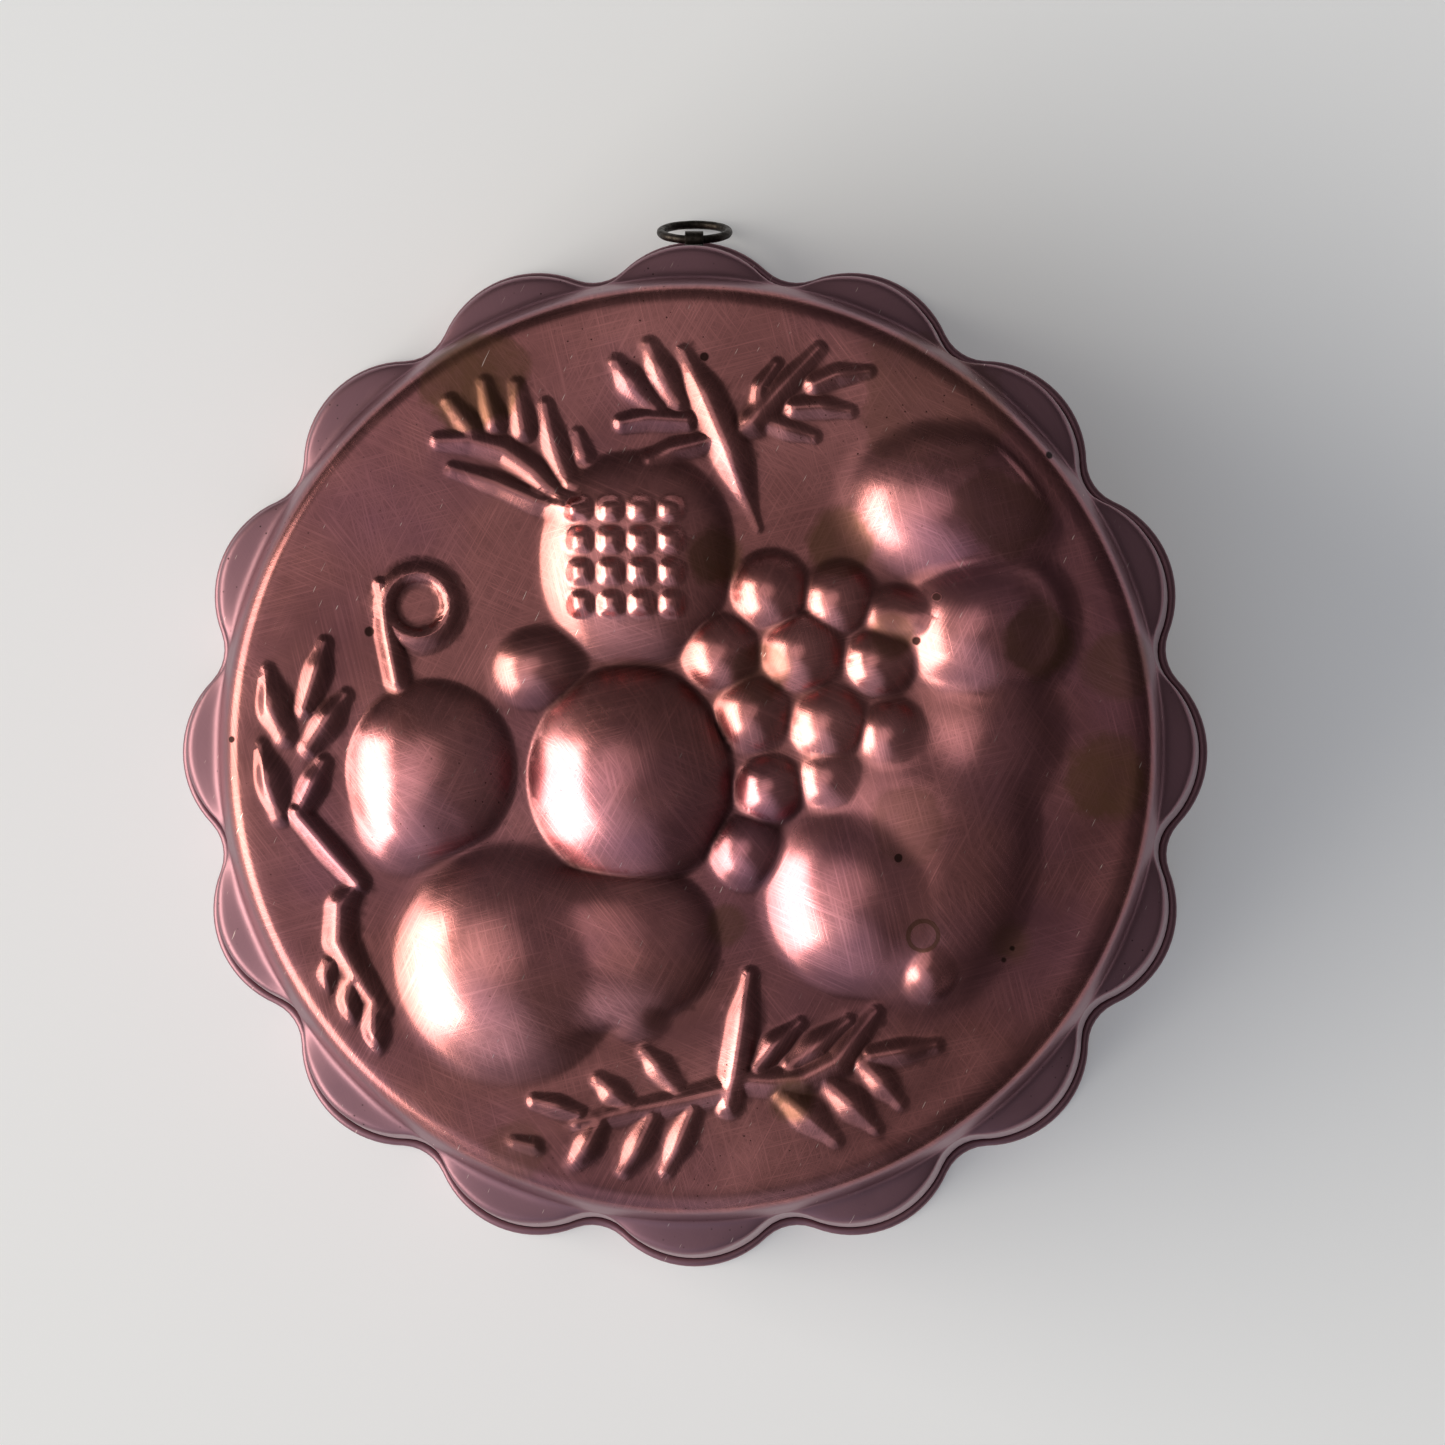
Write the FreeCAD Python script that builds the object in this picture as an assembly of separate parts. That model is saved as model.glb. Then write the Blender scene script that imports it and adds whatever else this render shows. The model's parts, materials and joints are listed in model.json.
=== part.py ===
import FreeCAD, Part
import math
import os

# A copper fruit mould stood on its rim: a fluted bell of thin sheet with fruit pressed up out of its flat
# top, a rolled rim with a wire in it, a tin lining, and a ring on a soldered strap to hang it up by.
# The axis of the mould is Z, and z = 0 is the plane that the rim stands on. +Y points at the ring.

V = FreeCAD.Vector

# ---- driving dimensions, mm ----
LOBES = 16                      # flutes round the wall, one of them centred on +Y
SHEET = 0.40                    # copper sheet
TIN = 0.20                      # tin lining
WIRE_R = 0.40                   # wire in the rolled rim
BEAD_R = WIRE_R + SHEET         # outside of the rolled rim
REST_CUT = 0.08                 # the rim is dressed flat by this much where it stands

BEAD_PEAK = 73.4                # centre of the wire at the crown of a flute
BEAD_VALLEY = 68.9              # and between two flutes
VALLEY_RATIO = 0.45             # radius of the hollow between flutes over that of a flute

LEDGE_PEAK = 65.5               # outer edge of the ledge on top of the flutes
LEDGE_VALLEY = 61.3
LEDGE_Z = 42.8
COLLAR_R = 61.1                 # foot of the plain collar above the ledge
COLLAR_Z = 43.4
TOP_R = 59.7                    # top of the collar
TOP_Z = 50.0                    # the flat top
TOP_ROUND = 1.5                 # rounding of the top's edge

WALL_FOOT = 0.5                 # the wall's sheet runs down into the rolled rim to here
BELOW = 0.2                     # a cutting solid runs past what it cuts by this much
LEAST_R = 0.3                   # a ridge whose inside would be tighter than this is flat inside
JOG = 0.04                      # a stem's next stretch starts this much thinner, inside the last one's end

RING_R = 4.85                   # hanging ring, centre line
RING_WIRE_R = 0.65
RING_LEAN = 24.0                # degrees from straight down, outward, when it lies on the table
EYE_R = 1.0                     # bore of the strap's eye
STRAP_T = 0.45
STRAP_W = 2.6
TAIL_LENGTH = 6.2               # from the eye's centre to the end of the tails
TAIL_SINK = 0.12                # the flat tails are bedded this far into the round of the flute
SOLDER_W = 4.4
SOLDER_T = 0.35                 # how far the solder rises over the strap's underside
FLOOR_GAP = 0.03                # the ring's wire clears the table by this much

BEAD_Z = BEAD_R - REST_CUT

# ---- the relief: (x, y, half width, height) of each round fruit, on the flat top ----
FRUIT = [
    (-7.4, -3.7, 13.9, 6.5),        # the large round fruit in the middle
    (-33.0, -2.8, 11.2, 4.8),       # apple on the left
    (-35.4, -8.6, 6.3, 3.0),        # its blossom end
    (-19.4, 10.2, 5.0, 2.2),        # berry between them
    (-23.4, -27.2, 14.3, 5.5),      # large apple at the bottom left, two halves
    (-8.4, -25.4, 11.2, 4.2),
    (21.8, -18.4, 12.4, 5.5),       # pear at the bottom right, two halves, a shoulder and a neck
    (31.4, -18.0, 11.0, 4.6),
    (32.5, -8.0, 10.4, 3.8),
    (37.2, 1.0, 9.0, 3.2),
    (38.9, 15.4, 10.5, 4.9),        # two peaches at the right
    (33.2, 30.6, 11.0, 4.2),
    (-6.8, 24.3, 12.9, 3.7),        # body of the pineapple
]
GRAPES = [
    (10.2, 19.9, 4.6, 3.0), (18.9, 19.0, 4.3, 2.8), (26.4, 16.4, 4.0, 2.5),
    (3.8, 11.9, 4.5, 2.9), (14.2, 12.0, 4.9, 3.5), (24.4, 11.0, 4.4, 3.1),
    (7.9, 4.2, 4.5, 3.2), (17.6, 2.9, 4.7, 3.5), (25.9, 1.2, 4.4, 3.1),
    (10.0, -5.4, 4.3, 3.0), (17.9, -4.3, 4.1, 2.8), (7.2, -13.2, 4.4, 2.5),
]
STUD_START = (-14.0, 30.1)      # first stud of the pineapple's skin
STUD_PITCH = 3.95
STUDS = 4                       # studs in a row, and rows
STUD = (1.85, 4.1)              # radius of a stud, and height of its top over the flat top
CURL = (-34.6, 18.0, 4.0, 1.2)  # the curled leaf: x, y, radius, radius of its ridge
CURL_SINK = 0.3

# stems and leaves: each is a chain of (x, y, half width) with one height
RIDGES = [
    (1.2, [(-39.5, 19.5, 1.0), (-37.5, 8.5, 1.3)]),                              # stalk of the left apple
    (1.1, [(-29.5, 35.5, 0.9), (-16.5, 31.0, 1.3)]),                             # crown of the pineapple
    (1.1, [(-32.0, 38.5, 0.9), (-25.0, 38.5, 1.2), (-18.0, 34.5, 1.3)]),
    (0.9, [(-31.0, 43.5, 0.9), (-28.5, 41.0, 1.1)]),
    (0.9, [(-26.5, 45.5, 0.9), (-25.5, 41.0, 1.2)]),
    (0.9, [(-22.5, 45.5, 0.9), (-21.5, 41.0, 1.2)]),
    (0.9, [(-18.5, 42.5, 0.9), (-17.5, 37.0, 1.2)]),
    (1.5, [(-1.0, 49.5, 0.9), (4.0, 39.0, 1.6), (8.5, 28.5, 0.9)]),              # top sprig
    (0.9, [(-9.0, 48.0, 0.9), (-5.5, 44.0, 1.2)]),
    (0.9, [(-5.0, 50.5, 0.9), (-2.5, 45.0, 1.2)]),
    (0.9, [(-8.0, 42.0, 0.9), (-2.0, 42.5, 1.2)]),
    (0.9, [(-5.0, 37.0, 0.9), (1.0, 39.0, 1.2)]),
    (1.1, [(6.0, 41.0, 1.2), (9.5, 42.5, 1.2), (17.0, 50.0, 0.9)]),
    (0.9, [(16.5, 47.0, 1.2), (22.0, 48.0, 0.9)]),
    (0.9, [(13.5, 43.5, 1.2), (20.0, 43.5, 0.9)]),
    (0.9, [(-53.5, 8.5, 0.9), (-51.5, 1.5, 1.2)]),                               # left sprig
    (0.9, [(-54.5, -0.5, 0.9), (-52.0, -8.5, 1.2)]),
    (0.9, [(-47.0, 12.5, 0.9), (-49.0, 5.5, 1.2)]),
    (0.9, [(-43.5, 6.0, 0.9), (-48.5, 0.5, 1.2)]),
    (0.9, [(-46.5, -1.5, 0.9), (-49.5, -7.0, 1.2)]),
    (1.1, [(-49.5, -9.5, 1.0), (-42.0, -17.5, 1.1)]),
    (1.1, [(-42.0, -17.5, 1.0), (-45.5, -21.5, 1.0), (-44.5, -25.5, 1.0), (-39.0, -32.5, 1.0)]),
    (0.9, [(-45.0, -28.0, 1.0), (-46.0, -34.0, 0.9)]),
    (0.9, [(-41.5, -32.0, 1.0), (-43.5, -38.0, 0.9)]),
    (0.9, [(-38.5, -34.0, 1.0), (-39.0, -38.5, 0.9)]),
    (1.2, [(6.5, -29.0, 1.1), (5.0, -42.0, 1.3)]),                               # bottom sprig
    (1.2, [(5.0, -43.0, 1.4), (-13.5, -47.5, 1.0)]),
    (1.3, [(6.5, -42.0, 1.4), (14.0, -42.5, 1.7), (23.0, -34.5, 1.5)]),
    (0.9, [(-19.0, -45.0, 0.9), (-14.5, -46.0, 1.1)]),
    (0.9, [(-13.5, -52.0, 0.9), (-12.0, -49.5, 1.1)]),
    (0.9, [(-8.0, -53.0, 0.9), (-5.5, -49.0, 1.1)]),
    (0.9, [(-3.0, -52.5, 0.9), (-0.5, -46.5, 1.1)]),
    (0.9, [(9.0, -39.0, 1.1), (13.5, -35.5, 0.9)]),
    (0.9, [(24.5, -38.5, 1.1), (30.5, -38.5, 0.9)]),
    (0.9, [(12.0, -45.5, 1.1), (18.0, -49.0, 0.9)]),
    (0.9, [(18.5, -43.5, 1.1), (23.0, -47.0, 0.9)]),
    (0.9, [(23.0, -41.5, 1.1), (26.0, -44.5, 0.9)]),
]


def direction(angle):
    """Unit vector in the plane of the rim, angle in degrees from +X."""
    return V(math.cos(math.radians(angle)), math.sin(math.radians(angle)), 0)


def lobe_radii(peak, valley):
    """Radius of a flute's arc and of the hollow's arc that run smoothly into each other."""
    turn = math.cos(math.pi / LOBES)
    a = 2 * VALLEY_RATIO * (turn - 1)
    b = -2 * peak + 2 * VALLEY_RATIO * valley - 2 * turn * (VALLEY_RATIO * peak - valley)
    c = peak * peak + valley * valley - 2 * peak * valley * turn
    flute = (-b - math.sqrt(b * b - 4 * a * c)) / (2 * a)
    return flute, VALLEY_RATIO * flute


def lobe_arcs(peak, valley, inset, z):
    """The flutes' outline, moved inward by inset: a list of (start, middle, end, centre) for each arc."""
    flute, hollow = lobe_radii(peak, valley)
    half = 180.0 / LOBES
    arcs = []
    for k in range(LOBES):
        angle = 90.0 + k * 2 * half
        crown = direction(angle) * (peak - flute)
        before = direction(angle - half) * (valley + hollow)
        after = direction(angle + half) * (valley + hollow)
        following = direction(angle + 2 * half) * (peak - flute)
        start = crown + (before - crown).normalize() * (flute - inset)
        end = crown + (after - crown).normalize() * (flute - inset)
        last = following + (after - following).normalize() * (flute - inset)
        middle = crown + direction(angle) * (flute - inset)
        low = after - direction(angle + half) * (hollow + inset)
        arcs.append((start, middle, end, crown))
        arcs.append((end, low, last, after))
    lift = V(0, 0, z)
    return [tuple(p + lift for p in arc) for arc in arcs]


def lobed_wire(peak, valley, inset, z):
    return Part.Wire([Part.Arc(a, b, c).toShape() for a, b, c, centre in lobe_arcs(peak, valley, inset, z)])


def round_wire(radius, z):
    """A circle cut where the flutes' arcs meet, so that it lofts to them piece by piece."""
    edges = []
    for start, middle, end, centre in lobe_arcs(LEDGE_PEAK, LEDGE_VALLEY, 0, 0):
        points = [V(p).normalize() * radius + V(0, 0, z) for p in (start, middle, end)]
        edges.append(Part.Arc(*points).toShape())
    return Part.Wire(edges)


def wall_radius(rim, ledge, z):
    """Radius of the wall's outside at height z, on a straight line from the rim up to the ledge."""
    return rim - WIRE_R + (ledge - rim + WIRE_R) * (z - BEAD_Z) / (LEDGE_Z - BEAD_Z)


def dome(x, y, half_width, height, inset):
    radius = (half_width ** 2 + height ** 2) / (2 * height)
    return Part.makeSphere(radius - inset, V(x, y, TOP_Z + height - radius))


def capsule(one, two, r1, r2):
    """A cone between two balls, tangent to both."""
    length = (two - one).Length
    sine = (r1 - r2) / length
    cosine = math.sqrt(1 - sine * sine)
    half_turn = math.radians(90) - math.asin(sine)
    knee1 = V(r1 * sine, 0, r1 * cosine)
    knee2 = V(length + r2 * sine, 0, r2 * cosine)
    back = math.pi - half_turn
    mid1 = V(-r1 * math.cos(back / 2), 0, r1 * math.sin(back / 2))
    mid2 = V(length + r2 * math.cos(half_turn / 2), 0, r2 * math.sin(half_turn / 2))
    tail = V(-r1, 0, 0)
    nose = V(length + r2, 0, 0)
    outline = Part.Wire([
        Part.Arc(tail, mid1, knee1).toShape(),
        Part.makeLine(knee1, knee2),
        Part.Arc(knee2, mid2, nose).toShape(),
        Part.makeLine(nose, tail),
    ])
    solid = Part.Face(outline).revolve(V(0, 0, 0), V(1, 0, 0), 360)
    turn = FreeCAD.Rotation(V(1, 0, 0), two - one)
    solid.Placement = FreeCAD.Placement(one, turn)
    return solid


def ridge(height, points, inset):
    """A rounded stem or leaf that follows its points, each stretch a tapered capsule."""
    radii = [(w * w + height * height) / (2 * height) for x, y, w in points]
    centres = [V(x, y, TOP_Z + height - r) for (x, y, w), r in zip(points, radii)]
    if min(radii) - inset < LEAST_R:
        return []
    solids = []
    for i in range(len(points) - 1):
        jog = JOG if i else 0
        solids.append(capsule(centres[i], centres[i + 1], radii[i] - inset - jog, radii[i + 1] - inset))
    return solids


def relief(inset):
    """Everything that stands up from the flat top."""
    solids = [dome(x, y, w, h, inset) for x, y, w, h in FRUIT + GRAPES]
    stud_r = STUD[0]
    for row in range(STUDS):
        for column in range(STUDS):
            x = STUD_START[0] + column * STUD_PITCH
            y = STUD_START[1] - row * STUD_PITCH
            solids.append(Part.makeSphere(stud_r - inset, V(x, y, TOP_Z + STUD[1] - stud_r)))
    for height, points in RIDGES:
        solids += ridge(height, points, inset)
    x, y, radius, ridge_r = CURL
    solids.append(Part.makeTorus(radius, ridge_r - inset, V(x, y, TOP_Z - CURL_SINK)))
    return solids


def bell(inset, foot):
    """The mould as if it were solid, its surface moved inward by inset, from z = foot up."""
    peak = wall_radius(BEAD_PEAK, LEDGE_PEAK, foot)
    valley = wall_radius(BEAD_VALLEY, LEDGE_VALLEY, foot)
    wall = [
        lobed_wire(peak, valley, inset, foot),
        lobed_wire(LEDGE_PEAK, LEDGE_VALLEY, inset, LEDGE_Z - inset),
        round_wire(COLLAR_R - inset, COLLAR_Z - inset),
        round_wire(TOP_R - inset, TOP_Z - TOP_ROUND),
    ]
    body = Part.makeLoft(wall, True, True)
    flat = TOP_R - TOP_ROUND
    low = TOP_Z - TOP_ROUND
    rounding = TOP_ROUND - inset
    bulge = rounding * math.sqrt(0.5)
    outline = Part.Wire([
        Part.makeLine(V(0, 0, low), V(flat + rounding, 0, low)),
        Part.Arc(
            V(flat + rounding, 0, low),
            V(flat + bulge, 0, low + bulge),
            V(flat, 0, low + rounding)).toShape(),
        Part.makeLine(V(flat, 0, low + rounding), V(0, 0, low + rounding)),
        Part.makeLine(V(0, 0, low + rounding), V(0, 0, low)),
    ])
    crown = Part.Face(outline).revolve(V(0, 0, 0), V(0, 0, 1), 360)
    return body.multiFuse([crown] + relief(inset)).removeSplitter()


def rim_tube(radius):
    """A round tube that follows the flutes at the rim: one piece of a ring for each arc."""
    faces = []
    for start, middle, end, centre in lobe_arcs(BEAD_PEAK, BEAD_VALLEY, 0, BEAD_Z):
        across = (start - centre).normalize()
        swing = math.degrees((start - centre).getAngle(end - centre))
        side = across.cross(middle - centre).z
        axis = V(0, 0, 1 if side > 0 else -1)
        section = Part.makeCircle(radius, start, axis.cross(across))
        faces += section.revolve(centre, axis, swing).Faces
    shell = Part.makeShell(faces)
    shell.sewShape()
    return Part.makeSolid(shell)


def save(shape, name):
    shape.exportStep("parts/" + name + ".step")
    state = "valid" if shape.isValid() else "INVALID"
    print(name, state, len(shape.Solids), "solids", round(shape.Volume, 2), "mm3")


def copper_shell(outside, inside):
    half = BEAD_PEAK + 2 * BEAD_R
    table = Part.makeBox(2 * half, 2 * half, BEAD_R, V(-half, -half, -BEAD_R))
    wall = outside.cut(inside)
    rolled = rim_tube(BEAD_R).fuse(wall)
    return rolled.cut(rim_tube(WIRE_R)).cut(table)


# ---- the hanger: its own plane is x = 0, on the crown of the flute at +Y ----
WALL_LEAN = math.atan2(BEAD_PEAK - WIRE_R - LEDGE_PEAK, LEDGE_Z - BEAD_Z)
OUT = V(0, math.cos(WALL_LEAN), math.sin(WALL_LEAN))
UP = V(0, -math.sin(WALL_LEAN), math.cos(WALL_LEAN))
EYE_OUT = EYE_R + STRAP_T
PIVOT_Z = RING_WIRE_R + FLOOR_GAP + 2 * RING_R * math.cos(math.radians(RING_LEAN))
FOOT_Z = PIVOT_Z - (EYE_OUT - TAIL_SINK) * OUT.z
PIVOT = V(0, wall_radius(BEAD_PEAK, LEDGE_PEAK, FOOT_Z), FOOT_Z) + OUT * (EYE_OUT - TAIL_SINK)


def on_wall(solid):
    """Put a solid drawn with X across, Y up the wall and Z out of it where the eye's centre is."""
    solid.Placement = FreeCAD.Placement(FreeCAD.Matrix(
        -1, 0, 0, PIVOT.x,
        0, UP.y, OUT.y, PIVOT.y,
        0, UP.z, OUT.z, PIVOT.z,
        0, 0, 0, 1))
    return solid


def hanger_strap():
    eye = Part.makeCylinder(EYE_OUT, STRAP_W, V(-STRAP_W / 2, 0, 0), V(1, 0, 0))
    tails = Part.makeBox(STRAP_W, TAIL_LENGTH, 2 * STRAP_T, V(-STRAP_W / 2, 0, -EYE_OUT))
    bore = Part.makeCylinder(EYE_R, STRAP_W + 2, V(-STRAP_W / 2 - 1, 0, 0), V(1, 0, 0))
    return on_wall(eye.fuse(tails).cut(bore).removeSplitter())


def strap_solder(strap, outside):
    margin = (SOLDER_W - STRAP_W) / 2
    corner = V(-SOLDER_W / 2, EYE_R, -EYE_OUT - 1)
    pad = Part.makeBox(SOLDER_W, TAIL_LENGTH - EYE_R + margin, SOLDER_T + 1, corner)
    return on_wall(pad).cut(outside).cut(strap)


def hanging_ring():
    lean = math.radians(RING_LEAN)
    down = V(0, math.sin(lean), -math.cos(lean))
    return Part.makeTorus(RING_R, RING_WIRE_R, PIVOT + down * RING_R, V(0, math.cos(lean), math.sin(lean)))


def main():
    os.makedirs("parts", exist_ok=True)
    outside = bell(0, WALL_FOOT)
    under_copper = bell(SHEET, WALL_FOOT - BELOW)
    save(copper_shell(outside, under_copper), "copper_shell")
    save(rim_tube(WIRE_R), "rim_wire")
    lining = bell(SHEET, BEAD_Z).cut(bell(SHEET + TIN, BEAD_Z - BELOW))
    save(lining, "tin_lining")
    strap = hanger_strap().cut(outside)
    save(strap, "hanger_strap")
    save(strap_solder(strap, outside), "strap_solder")
    save(hanging_ring(), "hanging_ring")


main()
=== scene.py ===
import json
import math

import bmesh
import bpy
import numpy as np
from mathutils import Matrix, Vector, noise


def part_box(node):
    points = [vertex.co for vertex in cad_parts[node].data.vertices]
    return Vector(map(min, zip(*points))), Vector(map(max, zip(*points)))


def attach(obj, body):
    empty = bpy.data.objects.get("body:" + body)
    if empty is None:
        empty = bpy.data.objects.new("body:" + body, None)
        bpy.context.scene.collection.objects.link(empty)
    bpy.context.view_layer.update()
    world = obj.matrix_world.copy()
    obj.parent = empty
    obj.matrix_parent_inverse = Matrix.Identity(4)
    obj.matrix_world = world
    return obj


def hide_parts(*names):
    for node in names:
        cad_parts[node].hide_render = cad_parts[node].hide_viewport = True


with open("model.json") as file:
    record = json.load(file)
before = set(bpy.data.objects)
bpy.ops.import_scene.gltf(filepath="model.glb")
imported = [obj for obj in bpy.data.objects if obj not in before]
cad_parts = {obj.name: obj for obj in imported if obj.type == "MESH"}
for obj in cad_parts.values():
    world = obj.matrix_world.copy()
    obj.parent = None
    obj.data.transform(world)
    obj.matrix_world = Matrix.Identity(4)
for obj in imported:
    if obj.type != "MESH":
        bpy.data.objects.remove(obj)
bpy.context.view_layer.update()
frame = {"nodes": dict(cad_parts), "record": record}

bl_info = {
    "name": "Fluted Fruit Mould",
    "version": (1, 0, 0),
    "blender": (4, 5, 0),
    "location": "3D View > Sidebar > Mould",
    "description": "Builds a pressed copper fruit mould with its tin lining, rolled rim and hanging ring",
    "category": "Add Mesh",
}

MM = 0.001


def linear(code):
    """An sRGB hex colour as the linear numbers that shaders use."""
    parts = [int(code[i:i + 2], 16) / 255 for i in (1, 3, 5)]
    return [p / 12.92 if p <= 0.04045 else ((p + 0.055) / 1.055) ** 2.4 for p in parts]


# ---------------------------------------------------------------- sizes and colours a user may change

class MouldSizes(bpy.types.PropertyGroup):
    sheet: bpy.props.FloatProperty(
        name="Sheet", description="Thickness of the copper sheet", default=0.4 * MM, unit="LENGTH",
        precision=5)
    tin: bpy.props.FloatProperty(
        name="Tin", description="Thickness of the tin lining", default=0.2 * MM, unit="LENGTH", precision=5)
    tolerance: bpy.props.FloatProperty(
        name="Relief tolerance", description="How closely the mesh follows the pressed relief, in mm",
        default=0.011, min=0.002)
    columns: bpy.props.IntProperty(
        name="Columns", description="Steps round the wall, a multiple of sixteen flutes and six", default=384)


class MouldColours(bpy.types.PropertyGroup):
    tarnish: bpy.props.FloatVectorProperty(
        name="Tarnish", description="Grey-violet film on the ledge and the wall", default=linear("#98707A"),
        subtype="COLOR")
    copper: bpy.props.FloatVectorProperty(
        name="Copper", description="Aged copper where it is still polished", default=linear("#CC8684"),
        subtype="COLOR")
    brown: bpy.props.FloatVectorProperty(
        name="Brown copper", description="Copper under a thin brown oxide", default=linear("#A86B69"),
        subtype="COLOR")
    violet: bpy.props.FloatVectorProperty(
        name="Violet copper", description="Copper under a thicker, violet oxide", default=linear("#9E6672"),
        subtype="COLOR")
    olive: bpy.props.FloatVectorProperty(
        name="Stains", description="Olive-brown stains", default=linear("#66492F"), subtype="COLOR")
    # The colour of the dirt and of the painted shade in the creases, and of the black spots and pits.
    dirt_and_shade: bpy.props.FloatVectorProperty(
        name="Dirt", description="Old polish and dirt in the creases", default=linear("#1E1512"),
        subtype="COLOR")
    tin: bpy.props.FloatVectorProperty(
        name="Tin", description="Dulled hot-dipped tin", default=linear("#B9B7B0"), subtype="COLOR")
    brass: bpy.props.FloatVectorProperty(
        name="Black brass", description="Blackened hanging ring and strap", default=linear("#3A3430"),
        subtype="COLOR")
    solder: bpy.props.FloatVectorProperty(
        name="Solder", description="Dull grey tin solder", default=linear("#77746F"), subtype="COLOR")
    floor: bpy.props.FloatVectorProperty(
        name="Floor", description="Plain pale floor", default=linear("#DDDEE4"), subtype="COLOR")


# ---------------------------------------------------------------- the pressed relief, in mm

# Round fruit: x, y, half width, half length, turn in degrees, height, power (2 is evenly domed, more is
# flatter on top with a steeper flank), squareness of the outline and how softly it runs into what is
# round it. They are laid on in this order.
FRUIT = [
    (32.8, 30.4, 12.4, 9.8, -10, 4.6, 2.0, 2.0, 2.2),      # upper peach on the right
    (37.2, 15.4, 11.2, 10.2, 12, 5.6, 2.0, 2.0, 1.9),       # lower peach
    (-6.8, 24.0, 12.4, 13.6, 0, 3.3, 2.8, 2.2, 0.5),       # body of the pineapple
    (-33.0, -2.8, 10.7, 11.3, 0, 4.7, 2.1, 2.0, 0.6),      # left apple
    (-35.4, -8.6, 6.4, 6.2, 20, 2.9, 2.2, 2.0, 2.4),       # its blossom end
    (-19.4, 10.2, 5.6, 4.8, 10, 2.2, 2.0, 2.0, 1.2),       # berry beside it
    (-12.4, -25.4, 15.8, 10.6, 6, 3.6, 3.0, 2.4, 0.5),     # big apple, right half
    (-23.4, -27.2, 13.8, 14.4, 12, 5.4, 2.1, 2.0, 1.6),    # big apple, left half
    (-6.8, -34.0, 3.2, 2.6, 0, 1.1, 2.0, 2.0, 1.2),        # its blossom end
    (36.4, 1.4, 8.6, 9.5, -17, 2.8, 2.0, 2.0, 2.2),        # neck of the pear
    (28.6, -8.6, 13.0, 12.0, 0, 3.4, 2.2, 2.0, 1.8),       # its shoulder
    (31.0, -15.0, 11.2, 16.6, -14, 4.1, 2.2, 2.1, 2.0),     # pear, right half
    (21.8, -18.4, 12.2, 12.4, 0, 5.4, 2.1, 2.1, 1.4),      # pear, left half
    (30.2, -27.4, 4.2, 4.9, -10, 2.8, 2.0, 2.0, 0.8),      # its blossom end
    (-7.4, -3.7, 13.3, 14.3, 0, 6.4, 2.05, 2.0, 0.5),      # the round fruit in the middle
]
UNDER_GRAPES = 2          # the grapes lie over the first two, the peaches
# Grapes: x, y, radius and height over their bed.
GRAPES = [
    (10.2, 19.9, 5.0, 2.7), (18.9, 19.0, 4.6, 2.3), (25.9, 16.6, 4.0, 1.9),
    (3.8, 11.9, 4.9, 2.4), (14.2, 12.0, 5.2, 2.8), (24.1, 11.0, 4.5, 2.4),
    (7.9, 4.2, 4.8, 2.4), (17.6, 2.9, 5.0, 2.6), (25.9, 1.2, 4.8, 2.5),
    (10.0, -5.4, 4.5, 2.5), (17.9, -4.3, 4.4, 2.1), (7.2, -13.2, 4.8, 2.3),
]
GRAPE_BED = (15.0, 7.5, 13.5, 17.5, 10, 1.4, 2.0, 2.0, 1.6)
GRAPE_BLEND = 0.8

STUD_START = (-14.0, 30.1)
STUD_PITCH = (3.9, -4.0)
STUD_DRIFT = 0.05
STUD_ROWS = 4             # and as many columns
STUD_R = 2.1
STUD_HEIGHT = 0.95
STUD_SQUARE = 2.6         # 2 is round, more is squarer
STUD_STEEP = 1.3

# Stems and leaves: height, then x, y and half width of the foot at each point along the ridge.
APPLE_STALK = [
    (1.3, [(-39.2, 20.6, 1.6), (-38.4, 14.6, 2.2), (-37.2, 8.6, 2.2)]),
]
CROWN = [
    (0.92, [(-30.2, 35.4, 1.5), (-24.6, 33.6, 2.0), (-19.6, 31.4, 2.2), (-15.4, 30.2, 2.2)]),
    (0.99, [(-32.0, 39.0, 1.7), (-28.0, 39.0, 2.2), (-23.6, 37.8, 2.4), (-20.0, 35.2, 2.4),
            (-16.4, 31.6, 2.2)]),
    (0.84, [(-30.6, 44.0, 1.7), (-27.9, 40.6, 2.3)]),
    (0.92, [(-26.2, 46.4, 1.5), (-24.9, 41.4, 2.3)]),
    (0.92, [(-22.1, 46.2, 1.5), (-21.2, 40.6, 2.3)]),
    (0.92, [(-18.4, 43.6, 1.5), (-17.2, 38.4, 2.3), (-15.6, 33.8, 2.0)]),
    (0.54, [(-14.4, 40.0, 1.3), (-13.4, 37.0, 1.8)]),
]
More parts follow.
